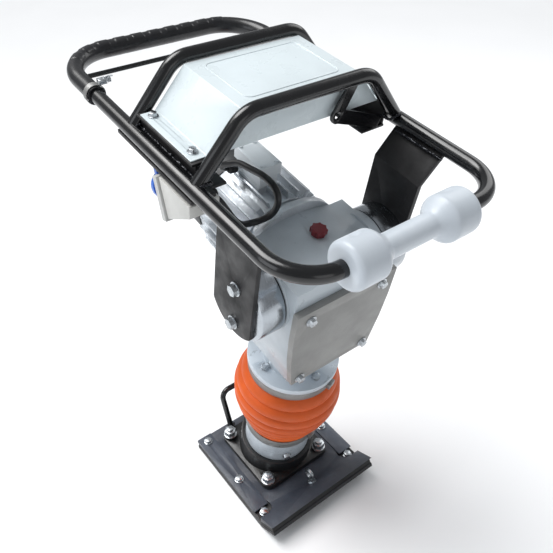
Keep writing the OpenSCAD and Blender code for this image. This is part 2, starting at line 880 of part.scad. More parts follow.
// Bent brackets that carry the hood, and the hook on the right for the supply lead.
module mount_plates() {
    deep = hood_back - hood_front + 12;
    color("#15161b") deck_frame() difference() {
        union() {
            both_sides() {
                translate([158, hood_front - 4, hood_low - 4]) cube([26, deep - 4, 4]);
                translate([174.5, hood_front - 4, -20]) cube([4, deep - 4, hood_low + 19]);
                translate([130, hood_front - 6, -20]) cube([48.5, deep, 4]);
            }
            // The flat bar under the left rail that carries the switch box.
            translate([box_left + 2, 52, -16.5]) cube([40, 212, 6]);
        }
        rail_cut();
        both_sides() for (t = hood_bolt_t) translate([168, t, hood_low - 10]) cylinder(h = 20, r = 4.1);
    }
}

// A bent strap in front of the hood on the right, with an eye for hanging the supply lead.
module lead_hook() {
    color("#15161b") deck_frame() translate([0, hoop_front + 10, 0]) rotate([90, 0, 0]) difference() {
        union() {
            translate([64, 34, 0]) cylinder(h = 5, r = 13);
            linear_extrude(height = 5) polygon([[54, 42], [80, 84], [96, 78], [72, 30]]);
            linear_extrude(height = 5) polygon([[62, 22], [70, 44], [162, 8], [154, -12]]);
        }
        translate([64, 34, -1]) cylinder(h = 10, r = 6);
    }
}

module side_plates() {
    rail_low = rail_s - tube_r + 3;
    wide = plate_back - plate_front;
    color("#1c1b1f") difference() {
        leg_frame() both_sides() union() {
            translate([plate_in, 0, 0]) rotate([90, 0, 90]) linear_extrude(height = plate_t) union() {
                translate([plate_front, buffer_s]) square([wide, plate_bend - buffer_s]);
                intersection() {
                    translate([-4, buffer_s + 5]) circle(r = 65);
                    translate([plate_front, buffer_s - 70]) square([wide, 140]);
                }
            }
            translate([0, plate_back, 0]) rotate([90, 0, 0]) linear_extrude(height = wide) polygon([
                [plate_in, plate_bend - 1], [plate_in + plate_t, plate_bend - 1],
                [rail_x + 4, rail_low], [rail_x - 5, rail_low]
            ]);
        }
        deck_frame() rail_cut();
        leg_frame() plate_places() translate([0, 0, -20]) cylinder(h = 30, r = 5.1);
    }
}

// Two bolts hold each side plate to its buffer cup.
module plate_places() {
    both_sides() for (s = [-39, 39]) translate([plate_in + plate_t, buffer_t, buffer_s + s])
        rotate([0, 90, 0]) children();
}

module plate_bolts() {
    color("#c9ccd0") leg_frame() plate_places() hex_bolt(17, 8, 12, 5, plate_t + 4);
}

// ---------------------------------------------------------------- hood

module hood_shape(grow, from, to) {
    translate([0, to, 0]) rotate([90, 0, 0]) linear_extrude(height = to - from) polygon([
        [-hood_low_x - grow, hood_low - 1], [hood_low_x + grow, hood_low - 1],
        [hood_low_x + grow, hood_low], [hood_top_x + grow, hood_high + grow],
        [-hood_top_x - grow, hood_high + grow], [-hood_low_x - grow, hood_low]
    ]);
}

module hood() {
    color("#d7dfe4") deck_frame() difference() {
        union() {
            hood_shape(0, hood_front, hood_back);
            translate([-182, hood_front + 2, hood_low]) cube([364, hood_back - hood_front - 4, sheet_t]);
        }
        hood_shape(-sheet_t - 0.4, hood_front + sheet_t, hood_back - sheet_t);
        translate([-200, hood_front - 1, hood_low - 10]) cube([400, 200, 10]);
        both_sides() for (t = hood_bolt_t) translate([168, t, hood_low - 1]) cylinder(h = 20, r = 4.1);
    }
}

module hood_bolts() {
    color("#c9ccd0") deck_frame() both_sides() for (t = hood_bolt_t)
        translate([168, t, hood_low + sheet_t]) hex_bolt(10, 5, 8, 4, 8);
}

// ---------------------------------------------------------------- handle grip

module grip_sleeve() {
    color("#16171c") deck_frame() difference() {
        union() {
            translate([-rail_x, 0, 0]) along(sleeve_left, bar_back - back_bend, sleeve_r);
            translate([rail_x, 0, 0]) along(sleeve_right, bar_back - back_bend, sleeve_r);
            both_sides() translate([rail_x - back_bend, bar_back - back_bend, 0])
                rotate_extrude(angle = 90) translate([back_bend, 0]) circle(r = sleeve_r);
            crossbar(bar_back, rail_x - back_bend, sleeve_r);
        }
        loop_tube(tube_r);
        translate([0, 0, 5]) crossbar(410, rail_x - 8, 4.2);
    }
}

module sleeve_clamp() {
    color("#9a9da1") deck_frame() translate([-rail_x, sleeve_left + 3, 0]) union() {
        ring_along(0, 10, sleeve_r, sleeve_r + 1.4);
        translate([10, -1, 12]) cube([14, 12, 9]);
        translate([24, 5, 17]) rotate([0, 90, 0]) cylinder(h = 7, r = 4);
    }
}

// ---------------------------------------------------------------- switch box

// The lid's own frame: its origin on the foot of the lid's inner face, y outward, z up the lid.
module lid_frame() {
    deck_frame() translate([box_mid, lid_foot[0], lid_foot[1]]) rotate([-lid_tilt, 0, 0]) children();
}

module switch_box() {
    color("#c8c7c3") difference() {
        deck_frame() translate([box_left, 0, 0]) rotate([90, 0, 90])
            linear_extrude(height = box_right - box_left)
                polygon([lid_foot, [139.5, -21], [54, -21], [54, -42]]);
        deck_frame() translate([box_left + 3, 0, 0]) rotate([90, 0, 90])
            linear_extrude(height = box_right - box_left - 6)
                polygon([[124, -79], [137.5, -24], [58, -24], [58, -40]]);
        leg_frame() translate([box_right - 8, 85, 790]) rotate([0, 90, 0])
            cylinder(h = 30, r = cable_r + 1.2);
    }
}

module switch_lid() {
    color("#b9b8b4") lid_frame() difference() {
        union() {
            translate([-28, 0, -3]) cube([56, lid_t, 70]);
            translate([-8, lid_t - 1, inlet_z + inlet_r + 4]) cube([16, 22, 6]);
        }
        translate([-22, -1, 3]) cube([44, lid_t - 3, 58]);
        translate([0, -1, inlet_z]) along(0, 20, inlet_r - 4);
        for (x = [-12, 12]) translate([x, 0, button_z]) along(-1, 20, 6);
        translate([-9, lid_t + 18, inlet_z + inlet_r + 7]) rotate([0, 90, 0]) cylinder(h = 18, r = 1.55);
    }
}

// The mains inlet: a round shroud with three pins behind the hinged flap.
module mains_inlet() {
    color("#1f6fd0") lid_frame() translate([0, 0, inlet_z]) union() {
        ring_along(lid_t, lid_t + 18, inlet_r - 3, inlet_r);
        along(lid_t - 6, lid_t, inlet_r - 4);
        along(lid_t, lid_t + 2, inlet_r - 2);
        for (a = [90, 210, 330]) rotate([0, a, 0]) translate([9, 0, 0]) along(lid_t, lid_t + 15, 2.4);
    }
}

// The flap turns on a pin above the inlet.
module inlet_flap() {
    color("#1f6fd0") lid_frame() difference() {
        union() {
            translate([0, 0, inlet_z]) along(lid_t + 18 + gap, lid_t + 27, inlet_r + 2);
            translate([0, 0, inlet_z]) along(lid_t + 26, lid_t + 31, inlet_r - 4);
            both_sides() translate([9, lid_t + 18 + gap, inlet_z + inlet_r - 6]) cube([4, 8, 14]);
            translate([-13, lid_t + 18, inlet_z + inlet_r + 7]) rotate([0, 90, 0]) cylinder(h = 26, r = 1.5);
        }
        translate([0, 0, inlet_z]) along(lid_t + 18, lid_t + 24, inlet_r - 3);
    }
}

module button_at(x) {
    lid_frame() translate([x, 0, button_z]) union() {
        along(3, lid_t + 5, 5.9);
        along(lid_t - 7.5, lid_t - 4.3, 8);
    }
}

module start_button() {
    color("#1d8a3c") button_at(-12);
}

module stop_button() {
    color("#b3231f") button_at(12);
}

// ---------------------------------------------------------------- motor lead

cable_r = 5.5;
cable_route = [
    [-157, 85, 790], [-148, 85, 789], [-138, 78, 781], [-128, 71, 764], [-116, 67, 742],
    [-100, 68, 724], [-82, 70, 716], [-65, 64, 720], [-54, 54, 735], [-50, 48, 756],
    [-50, 50, 774], [-50, 64, 784], [-50, 88, 784], [-50, 122, 775], [-52, 152, 767],
    [-60, 168, 758], [-63, 179, 748], [-57, 182, 740], [-46, 181, 736], [-36, 181, 736], [-24, 181, 736]
];

function unit(v) = v / norm(v);
function lean_to(v) = [v[0], v[1] * cos(lean) - v[2] * sin(lean), v[1] * sin(lean) + v[2] * cos(lean)];
function spline(p0, p1, p2, p3, u) = 0.5 * (2 * p1 + (p2 - p0) * u
    + (2 * p0 - 5 * p1 + 4 * p2 - p3) * u * u + (3 * p1 - p0 - 3 * p2 + p3) * u * u * u);
function smooth_path(p, n) = [
    for (i = [0 : len(p) - 2]) for (k = [0 : n - 1])
        spline(p[max(i - 1, 0)], p[i], p[i + 1], p[min(i + 2, len(p) - 1)], k / n),
    p[len(p) - 1]
];

// One closed tube swept along a path, its rings kept square to the path.
module swept_tube(path, r, sides) {
    last = len(path) - 1;
    dirs = [for (i = [0 : last]) unit(path[min(i + 1, last)] - path[max(i - 1, 0)])];
    points = [for (i = [0 : last]) let(
        side = unit(cross(dirs[i], [0.13, 0.21, 0.97])),
        up = cross(side, dirs[i])
    ) for (k = [0 : sides - 1]) path[i] + r * (side * cos(360 * k / sides) + up * sin(360 * k / sides))];
    faces = concat(
        [[for (k = [0 : sides - 1]) k]],
        [for (i = [0 : last - 1]) for (k = [0 : sides - 1]) let(
            a = i * sides + k, b = i * sides + (k + 1) % sides) [a, a + sides, b + sides, b]],
        [[for (k = [sides - 1 : -1 : 0]) last * sides + k]]
    );
    polyhedron(points, faces, convexity = 10);
}

module motor_cable() {
    color("#121317") swept_tube(smooth_path([for (p = cable_route) lean_to(p)], 2), cable_r, 10);
}

// ---------------------------------------------------------------- roller

module roller() {
    color("#e6eaee") deck_frame() translate([roller_x, -bar_front, 0]) rotate([0, 90, 0])
        rotate_extrude() polygon([
        [tube_r + running, -roller_half], [26, -roller_half], [roller_r - 3, -roller_half + 3],
        [roller_r, -roller_half + 9], [roller_r, -roller_half + 44], [roller_r - 3, -roller_half + 49],
        [roller_mid_r, -roller_half + 70], [roller_mid_r, roller_half - 70],
        [roller_r - 3, roller_half - 49], [roller_r, roller_half - 44], [roller_r, roller_half - 9],
        [roller_r - 3, roller_half - 3], [26, roller_half], [tube_r + running, roller_half]
    ]);
}

sole_plate();
shoe_board();
shoe_deck();
shoe_strips();
shoe_bolts();
foot_casting();
foot_nuts();
foot_cylinder();
drain_plug();
lifting_bail();
shoe_eye();
spring_cylinder();
spring_cap();
lower_spring();
upper_spring();
bellows();
lower_clamp();
guide_cylinder();
guide_bushes();
upper_clamp();
crankcase();
front_cover();
case_bolts();
oil_cap();
ball_bearings();
oil_seal();
motor_flange();
motor_housing();
motor_rear_bell();
fan_cover();
stator();
terminal_box();
terminal_lid();
buffer_rubbers();
crankshaft();
crank_gear();
rotor_shaft();
cooling_fan();
connecting_rod();
ram_rod();
ram_piston();
frame_loop();
frame_hoops();
mount_plates();
lead_hook();
side_plates();
buffer_cups();
plate_bolts();
hood();
hood_bolts();
grip_sleeve();
sleeve_clamp();
switch_box();
switch_lid();
motor_cable();
mains_inlet();
inlet_flap();
start_button();
stop_button();
roller();
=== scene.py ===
import math

import bpy
from mathutils import Matrix, Vector, noise


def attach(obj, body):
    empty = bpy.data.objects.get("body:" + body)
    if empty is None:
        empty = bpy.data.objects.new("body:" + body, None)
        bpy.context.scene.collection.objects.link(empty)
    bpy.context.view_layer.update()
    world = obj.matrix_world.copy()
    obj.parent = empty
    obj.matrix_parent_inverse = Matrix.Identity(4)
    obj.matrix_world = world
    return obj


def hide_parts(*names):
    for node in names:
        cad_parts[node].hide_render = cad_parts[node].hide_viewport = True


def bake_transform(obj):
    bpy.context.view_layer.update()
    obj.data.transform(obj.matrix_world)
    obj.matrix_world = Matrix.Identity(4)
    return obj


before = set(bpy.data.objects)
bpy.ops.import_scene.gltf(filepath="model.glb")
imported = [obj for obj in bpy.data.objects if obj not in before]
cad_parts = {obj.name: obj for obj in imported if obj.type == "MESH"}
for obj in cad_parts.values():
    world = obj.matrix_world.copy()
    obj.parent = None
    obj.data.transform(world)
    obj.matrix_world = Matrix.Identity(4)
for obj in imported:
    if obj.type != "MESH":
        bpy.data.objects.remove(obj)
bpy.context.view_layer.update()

MM = 0.001


# ---------------------------------------------------------------- frames of reference

def turn_x(degrees):
    return Matrix.Rotation(math.radians(degrees), 4, "X")


def move(x, y, z):
    return Matrix.Translation((x * MM, y * MM, z * MM))


# The leg leans towards the toe. Along it, x is across, t is square to the leg and s is up the leg.
LEAN, FRAME_SLOPE, LID_TILT = 11.0, 3.2, 18.7
RAIL_S = 836
LEG = turn_x(LEAN)
# The plane of the guiding frame, with z measured from the centre of its tube.
DECK = LEG @ move(0, 0, RAIL_S) @ turn_x(-FRAME_SLOPE)
# The lid of the switch box, with y outward and z up the lid.
LID = DECK @ move(-177, 118, -85) @ turn_x(-LID_TILT)


def at(frame_of, x, y, z):
    return frame_of @ Vector((x * MM, y * MM, z * MM))


# ---------------------------------------------------------------- materials

def new_material(name, color, rough, metal=0.0, coat=0.0, sheen=0.0):
    m = bpy.data.materials.new(name)
    m.use_nodes = True
    s = m.node_tree.nodes["Principled BSDF"]
    s.inputs["Base Color"].default_value = (*color, 1)
    s.inputs["Roughness"].default_value = rough
    s.inputs["Metallic"].default_value = metal
    s.inputs["Coat Weight"].default_value = coat
    s.inputs["Coat Roughness"].default_value = 0.08
    s.inputs["Sheen Weight"].default_value = sheen
    return m


def linear(hexa):
    def one(v):
        v /= 255
        return v / 12.92 if v <= 0.04045 else ((v + 0.055) / 1.055) ** 2.4
    return tuple(one(int(hexa[i:i + 2], 16)) for i in (1, 3, 5))


class Nodes:
    """A short way to add and join shader nodes."""

    def __init__(self, material):
        self.tree = material.node_tree
        self.shader = self.tree.nodes["Principled BSDF"]
        self.place = self.add("ShaderNodeTexCoord").outputs["Object"]

    def add(self, kind, **values):
        n = self.tree.nodes.new(kind)
        for k, v in values.items():
            setattr(n, k, v)
        return n

    def join(self, a, b):
        self.tree.links.new(a, b)

    def noise(self, scale, detail=4.0, rough=0.55, stretch=None):
        n = self.add("ShaderNodeTexNoise")
        n.inputs["Scale"].default_value = scale
        n.inputs["Detail"].default_value = detail
        n.inputs["Roughness"].default_value = rough
        if stretch:
            m = self.add("ShaderNodeMapping")
            m.inputs["Scale"].default_value = stretch
            self.join(self.place, m.inputs["Vector"])
            self.join(m.outputs["Vector"], n.inputs["Vector"])
        else:
            self.join(self.place, n.inputs["Vector"])
        return n.outputs["Fac"]

    def ramp(self, fac, stops):
        r = self.add("ShaderNodeValToRGB")
        while len(r.color_ramp.elements) < len(stops):
            r.color_ramp.elements.new(0.5)
        for e, (p, c) in zip(r.color_ramp.elements, stops):
            e.position = p
            e.color = (*c, 1) if isinstance(c, tuple) else (c, c, c, 1)
        self.join(fac, r.inputs["Fac"])
        return r.outputs["Color"]

    def color(self, socket):
        self.join(socket, self.shader.inputs["Base Color"])

    def rough(self, socket):
        self.join(socket, self.shader.inputs["Roughness"])

    def bump(self, fac, distance, strength=1.0):
        b = self.add("ShaderNodeBump")
        b.inputs["Distance"].default_value = distance
        b.inputs["Strength"].default_value = strength
        self.join(fac, b.inputs["Height"])
        self.join(b.outputs["Normal"], self.shader.inputs["Normal"])


def shade(c, k):
    return tuple(min(1.0, v * k) for v in c)


def painted(name, hexa, rough=0.3, coat=0.0, grime=0.35, peel=0.00012, peel_scale=220.0, dust=None):
    """Paint with an uneven coat, and dust or scuffs where a broad noise is high."""
    c = linear(hexa)
    m = new_material(name, c, rough, coat=coat)
    n = Nodes(m)
    broad = n.noise(9.0, 6.0, 0.6)
    n.color(n.ramp(broad, [(0.3, shade(c, 1 - grime)), (0.55, c), (0.8, dust or shade(c, 1 + 0.4 * grime))]))
    n.rough(n.ramp(n.noise(26.0, 5.0), [(0.3, rough * 0.75), (0.75, min(1.0, rough * 1.5))]))
    n.bump(n.noise(peel_scale, 3.0), peel)
    return m


def metal(name, hexa, rough=0.3, stretch=None, scale=60.0, stain=0.35, bump=0.00006, metallic=1.0):
    """Bare metal with turned, brushed or cast grain."""
    c = linear(hexa)
    m = new_material(name, c, rough, metal=metallic)
    n = Nodes(m)
    n.color(n.ramp(n.noise(14.0, 6.0, 0.65), [(0.3, shade(c, 1 - stain)), (0.6, c), (0.85, shade(c, 1.12))]))
    n.rough(n.ramp(n.noise(scale, 5.0, 0.6, stretch), [(0.3, rough * 0.6), (0.75, min(1.0, rough * 1.6))]))
    n.bump(n.noise(scale, 4.0, 0.6, stretch), bump)
    return m


def soft(name, hexa, rough=0.5, dust=None, bump=0.0001, scale=120.0, amount=0.25, coat=0.0):
    """Rubber and plastic, with dust gathered by a broad noise."""
    c = linear(hexa)
    m = new_material(name, c, rough, coat=coat)
    n = Nodes(m)
    n.color(n.ramp(n.noise(11.0, 6.0, 0.6),
                   [(0.32, shade(c, 1 - amount)), (0.58, c), (0.85, dust or shade(c, 1 + amount))]))
    n.rough(n.ramp(n.noise(30.0, 4.0), [(0.3, rough * 0.8), (0.75, min(1.0, rough * 1.3))]))
    n.bump(n.noise(scale, 3.0), bump)
    return m


M = {
    "gloss_black": painted("frame_gloss_black", "#06070a", 0.22, coat=0.35, grime=0.2, peel=0.00005,
                           peel_scale=90.0),
    "satin_black": painted("plate_satin_black", "#0c0b0e", 0.5, grime=0.3, dust=linear("#151417")),
    "cast_black": painted("cast_black_paint", "#0c0d0f", 0.38, coat=0.2, peel=0.0004, peel_scale=160.0),
    "hood": painted("hood_pale_paint", "#d9e4e8", 0.28, coat=0.25, grime=0.08, peel=0.00004),
    "crankcase": painted("crankcase_pale_paint", "#b6bfc6", 0.33, coat=0.15, grime=0.16, peel=0.00028,
                         peel_scale=240.0),
    # The front cover uses the crankcase's pale paint darkened to a grey: the darker grey is painted shade of
    # its shaded front face.
    "cover": painted("cover_paint_darkened_by_painted_shade", "#8f8f8d", 0.42, grime=0.16, peel=0.0003, peel_scale=210.0,
                     dust=linear("#9c9b98")),
    "deck": painted("shoe_slate_paint", "#3c414b", 0.45, coat=0.1, grime=0.3, peel=0.0002,
                    dust=linear("#565d69")),
    "strip": painted("shoe_strip_paint", "#464c57", 0.4, coat=0.1, grime=0.3, peel=0.0002,
                     dust=linear("#606874")),
    "sole": painted("sole_dark_steel", "#191a1e", 0.4, grime=0.4, dust=linear("#3a3c42")),
    "board": soft("shoe_board_black", "#0e0f12", 0.5, bump=0.0002, dust=linear("#24262b")),
    "zinc": metal("zinc_plated", "#c3c8cc", 0.3, scale=180.0, stain=0.3),
    "dark_steel": metal("dark_ground_steel", "#8f959b", 0.3, scale=120.0),
    "cup_steel": metal("buffer_cup_steel", "#b4bac0", 0.2, stretch=(20, 1, 1), scale=50.0, stain=0.3),
    "tube_silver": metal("cylinder_silver_paint", "#c3ccd4", 0.35, stretch=(1, 1, 12), scale=30.0, stain=0.08,
                         bump=0.00003, metallic=0.3),
    "alloy": metal("cast_alloy", "#cbd0d5", 0.42, scale=220.0, stain=0.25, bump=0.0002, metallic=0.7),
    "terminal": painted("terminal_box_paint", "#d0d6da", 0.35, grime=0.1, peel=0.0002),
    "band": metal("band_grey", "#8f8f8e", 0.45, scale=90.0, stain=0.3, metallic=0.6),
    "bronze": metal("bearing_bronze", "#b08d4c", 0.3),
    "copper": metal("copper_windings", "#a8633a", 0.35, stretch=(1, 40, 1), scale=60.0, bump=0.0004),
    "spring": metal("spring_steel", "#4b5157", 0.35, scale=100.0),
    "bellows": soft("bellows_orange", "#d65600", 0.5, dust=linear("#de6606"), bump=0.00015, amount=0.2),
    "rubber": soft("black_rubber", "#0f1013", 0.55, dust=linear("#232428")),
    "grip": soft("grip_rubber", "#0c0d12", 0.34, dust=linear("#1d2029"), coat=0.25),
    "cable": soft("cable_black", "#0d0e12", 0.4, dust=linear("#1f2126")),
    "roller": soft("roller_white", "#c6ced6", 0.36, dust=linear("#d3dae0"), amount=0.07, bump=0.00006,
                   coat=0.15),
    "box": soft("switch_box_pale", "#cfcfcb", 0.45, dust=linear("#dededa"), amount=0.12),
    "lid": soft("switch_lid_grey", "#c3c4c2", 0.45, dust=linear("#d5d6d4"), amount=0.12),
    "blue": soft("inlet_blue", "#1462c8", 0.3, dust=linear("#2a7ae0"), amount=0.15, coat=0.3),
    "green": soft("button_green", "#1d8a3c", 0.35, amount=0.15),
    "red": soft("button_red", "#b3231f", 0.35, amount=0.15),
    "cap": soft("oil_cap_red", "#6d1420", 0.36, dust=linear("#8a2430"), amount=0.25, coat=0.2),
    "fan": soft("fan_grey_plastic", "#2b2d30", 0.45, amount=0.2),
    "weld": metal("weld_bead", "#23252b", 0.25, scale=300.0, metallic=0.5, bump=0.0003),
}

NODE_MATERIALS = {
    "gloss_black": "frame_loop frame_hoops lifting_bail lead_hook",
    "satin_black": "mount_plates side_plates",
    "cast_black": "foot_casting",
    "hood": "hood",
    "crankcase": "crankcase",
    "cover": "front_cover",
    "deck": "shoe_deck",
    "strip": "shoe_strips",
    "sole": "sole_plate",
    "board": "shoe_board",
    "zinc": "shoe_bolts foot_nuts drain_plug shoe_eye case_bolts plate_bolts hood_bolts sleeve_clamp",
    "tube_silver": "foot_cylinder guide_cylinder",
    "dark_steel": "spring_cylinder spring_cap crankshaft crank_gear rotor_shaft connecting_rod ram_rod "
                  "ram_piston ball_bearings",
    "cup_steel": "buffer_cups",
    "alloy": "motor_flange motor_housing motor_rear_bell",
    "terminal": "terminal_box terminal_lid",
    "band": "lower_clamp upper_clamp",
    "bronze": "guide_bushes",
    "copper": "stator",
    "rubber": "buffer_rubbers oil_seal",
    "box": "switch_box",
    "lid": "switch_lid",
    "blue": "mains_inlet inlet_flap",
    "green": "start_button",
    "red": "stop_button",
    "cap": "oil_cap",
    "fan": "cooling_fan fan_cover",
    "spring": "lower_spring upper_spring",
    "bellows": "bellows",
    "grip": "grip_sleeve",
    "cable": "motor_cable",
    "roller": "roller",
}

# Width of the rounded edge on each CAD node, in millimetres, where it isn't the usual one.
EDGE = {
    "crankcase": 2.5, "front_cover": 1.8, "hood": 1.0, "foot_casting": 2.5, "terminal_lid": 3.0,
    "terminal_box": 2.0, "switch_box": 3.0, "switch_lid": 2.5, "inlet_flap": 2.5, "shoe_deck": 0.8,
    "oil_cap": 0.8, "motor_housing": 0.5, "side_plates": 0.8, "shoe_board": 0.8, "sole_plate": 1.0,
    "crank_gear": 0.2, "rotor_shaft": 0.2, "fan_cover": 0.4, "frame_loop": 0.0, "frame_hoops": 0.0,
    "lead_hook": 0.8, "shoe_eye": 0.0, "lifting_bail": 0.0,
}
USUAL_EDGE = 0.5


def finish_node(name, material):
    """A CAD node's look: its material, rounded edges and smooth shading between them."""
    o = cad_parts[name]
    o.data.materials.clear()
    o.data.materials.append(material)
    if "custom_normal" in o.data.attributes:
        o.data.attributes.remove(o.data.attributes["custom_normal"])
    o.data.polygons.foreach_set("use_smooth", [True] * len(o.data.polygons))
    w = o.modifiers.new("weld", "WELD")
    w.merge_threshold = 0.00002
    edge = EDGE.get(name, USUAL_EDGE)
    if edge:
        b = o.modifiers.new("edges", "BEVEL")
        b.width = edge * MM
        b.segments = 2
        b.limit_method = "ANGLE"
        b.angle_limit = math.radians(38)
        b.use_clamp_overlap = True
    e = o.modifiers.new("split", "EDGE_SPLIT")
    e.split_angle = math.radians(30)


for key, names in NODE_MATERIALS.items():
    for node_name in names.split():
        finish_node(node_name, M[key])


# ---------------------------------------------------------------- mesh builders

def mesh_object(name, vertices, faces, material, smooth=True, sharp=40.0):
    mesh = bpy.data.meshes.new(name)
    mesh.from_pydata([tuple(v) for v in vertices], [], faces)
    mesh.validate()
    mesh.update()
    o = bpy.data.objects.new(name, mesh)
    bpy.context.scene.collection.objects.link(o)
    mesh.materials.append(material)
    mesh.polygons.foreach_set("use_smooth", [smooth] * len(mesh.polygons))
    if smooth:
        mesh.set_sharp_from_angle(angle=math.radians(sharp))
    return o


def grid_faces(rings, sides, closed_ends=True, closed_loop=False):
    faces = []
    for i in range(rings - 1 + (1 if closed_loop else 0)):
        j = (i + 1) % rings
        for k in range(sides):
            n = (k + 1) % sides
            faces.append((i * sides + k, j * sides + k, j * sides + n, i * sides + n))
    if closed_ends and not closed_loop:
        faces.append(tuple(range(sides)))
        faces.append(tuple((rings - 1) * sides + k for k in reversed(range(sides))))
    return faces


def lathe(name, frame_of, profile, material, sides=128, shape=None, sharp=40.0):
    """A closed profile of (radius, height) in millimetres turned about the frame's z axis.
    shape(radius, angle, height) may give another radius."""
    vertices = []
    for r, h in profile:
        for k in range(sides):
            a = 2 * math.pi * k / sides
            rr = shape(r, a, h) if shape else r
            vertices.append(at(frame_of, rr * math.cos(a), rr * math.sin(a), h))
    return mesh_object(name, vertices, grid_faces(len(profile), sides, closed_loop=True), material,
                       sharp=sharp)


def smooth_path(points, per):
    """A Catmull-Rom curve through the points."""
    out = []
    last = len(points) - 1
    for i in range(last):
        p0, p1 = points[max(i - 1, 0)], points[i]
        p2, p3 = points[i + 1], points[min(i + 2, last)]
        for k in range(per):
            u = k / per
            out.append(0.5 * (2 * p1 + (p2 - p0) * u + (2 * p0 - 5 * p1 + 4 * p2 - p3) * u * u
                              + (3 * p1 - p0 - 3 * p2 + p3) * u ** 3))
    out.append(points[last])
    return out


def tube(name, path, radius, material, sides=24, closed=False, shape=None):
    """A tube along a path in metres. shape(distance, angle) may give another radius."""
    count = len(path)
    directions = []
    for i in range(count):
        a = path[(i - 1) % count] if closed or i else path[0]
        b = path[(i + 1) % count] if closed or i < count - 1 else path[-1]
        directions.append((b - a).normalized())
    side = directions[0].orthogonal().normalized()
    vertices, run = [], 0.0
    for i, d in enumerate(directions):
        side = (side - d * side.dot(d)).normalized()
        up = d.cross(side)
        if i:
            run += (path[i] - path[i - 1]).length
        for k in range(sides):
            a = 2 * math.pi * k / sides
            r = shape(run, a) if shape else radius
            vertices.append(path[i] + r * (side * math.cos(a) + up * math.sin(a)))
    return mesh_object(name, vertices, grid_faces(count, sides, closed_loop=closed), material)


def block(name, frame_of, low, high, material, edge=0.5, segments=2):
    """A bevelled box between two corners, in millimetres."""
    corners = [(x, y, z) for x in (low[0], high[0]) for y in (low[1], high[1]) for z in (low[2], high[2])]
    faces = [(0, 1, 3, 2), (4, 6, 7, 5), (0, 4, 5, 1), (2, 3, 7, 6), (0, 2, 6, 4), (1, 5, 7, 3)]
    o = mesh_object(name, [at(frame_of, *c) for c in corners], faces, material)
    b = o.modifiers.new("edges", "BEVEL")
    b.width = edge * MM
    b.segments = segments
    return o


def rides(o, body):
    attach(o, body)
    return o


# ---------------------------------------------------------------- bellows

FOOT_R, UPPER_CUFF_R, SPIGOT_R = 72.5, 84.5, 79.5
CUFF_LOW, BELLOWS_LOW, BELLOWS_HIGH, FLANGE_LOW = 154, 180, 360, 386
BELLOWS_R, FOLDS, FOLD_DEPTH, RUBBER_T = 110, 7, 8.0, 4.0


def barrel(u):
    return 79 + (BELLOWS_R - 79 - 0.5) * math.sin(math.radians(162 * u ** 1.23))


def bellows():
    steps = 140
    outer = []
    for i in range(steps + 1):
        u = i / steps
        # Rounded folds with narrow valleys, shallower towards the top.
        fold = (1 - abs(math.sin(math.pi * FOLDS * u))) ** 1.3
        depth = FOLD_DEPTH * (1 - 0.45 * u)
        outer.append((barrel(u) - depth * fold, BELLOWS_LOW + (BELLOWS_HIGH - BELLOWS_LOW) * u))
    outer[0] = (FOOT_R + 2.7, BELLOWS_LOW)
    profile = [(FOOT_R + 0.3, CUFF_LOW), (FOOT_R + 2.7, CUFF_LOW)]
    profile += outer
    profile += [(UPPER_CUFF_R, BELLOWS_HIGH + 2), (UPPER_CUFF_R, FLANGE_LOW - 0.3),
                (SPIGOT_R + 0.3, FLANGE_LOW - 0.3), (SPIGOT_R + 0.3, BELLOWS_HIGH - 2)]
    profile += [(r - RUBBER_T, h) for r, h in outer[-4:6:-1]]
    profile += [(FOOT_R + 0.3, BELLOWS_LOW)]
    o = lathe("bellows_boot", LEG, profile, M["bellows"], sides=160, sharp=60)
    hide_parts("bellows")
    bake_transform(o)


bellows()


# ---------------------------------------------------------------- springs

def coil(name, low, high, radius, wire, turns, node, foot_end, ram_end):
    """A spring in two halves, split at its middle: one half at the foot end, the other at the ram end."""
    steps = turns * 28
    path = []
    for i in range(steps + 1):
        u = i / steps
        # The end turns lie close together, ground flat.
        h = low + wire + (high - low - 2 * wire) * (u - 0.12 * math.sin(2 * math.pi * u) / math.pi)
        a = 2 * math.pi * turns * u
        path.append(at(LEG, radius * math.cos(a), radius * math.sin(a), h))
    half, middle = steps // 2, (low + high) / 2
    lower, upper = path[:half + 1], path[half:]
    by_foot, by_ram = (lower, upper) if foot_end < ram_end else (upper, lower)
    for part, points, bodies, start, end in (("foot_half", by_foot, ("foot", "machine"), foot_end, middle),
                                             ("ram_half", by_ram, ("machine", "ram"), middle, ram_end)):
        o = tube(f"{name}_{part}", points, wire * MM, M["spring"], sides=14)
        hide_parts(node)
        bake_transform(o)


coil("lower_coil", 76, 165, 35, 4.5, 6, "lower_spring", 76, 165)
coil("upper_coil", 185, 300, 33, 4.5, 7, "upper_spring", 300, 185)


# ---------------------------------------------------------------- guiding frame: grip, clamp, welds

RAIL_X, BAR_FRONT, BAR_BACK, BACK_BEND = 190, 163, 500, 85
TUBE_R, SLEEVE_R = 12.0, 15.6
SLEEVE_LEFT, SLEEVE_RIGHT = 352, 400
PAD_LONG, PAD_PITCH, PAD_HIGH, PAD_HALF_ANGLE = 23, 34.0, 0.9, 48


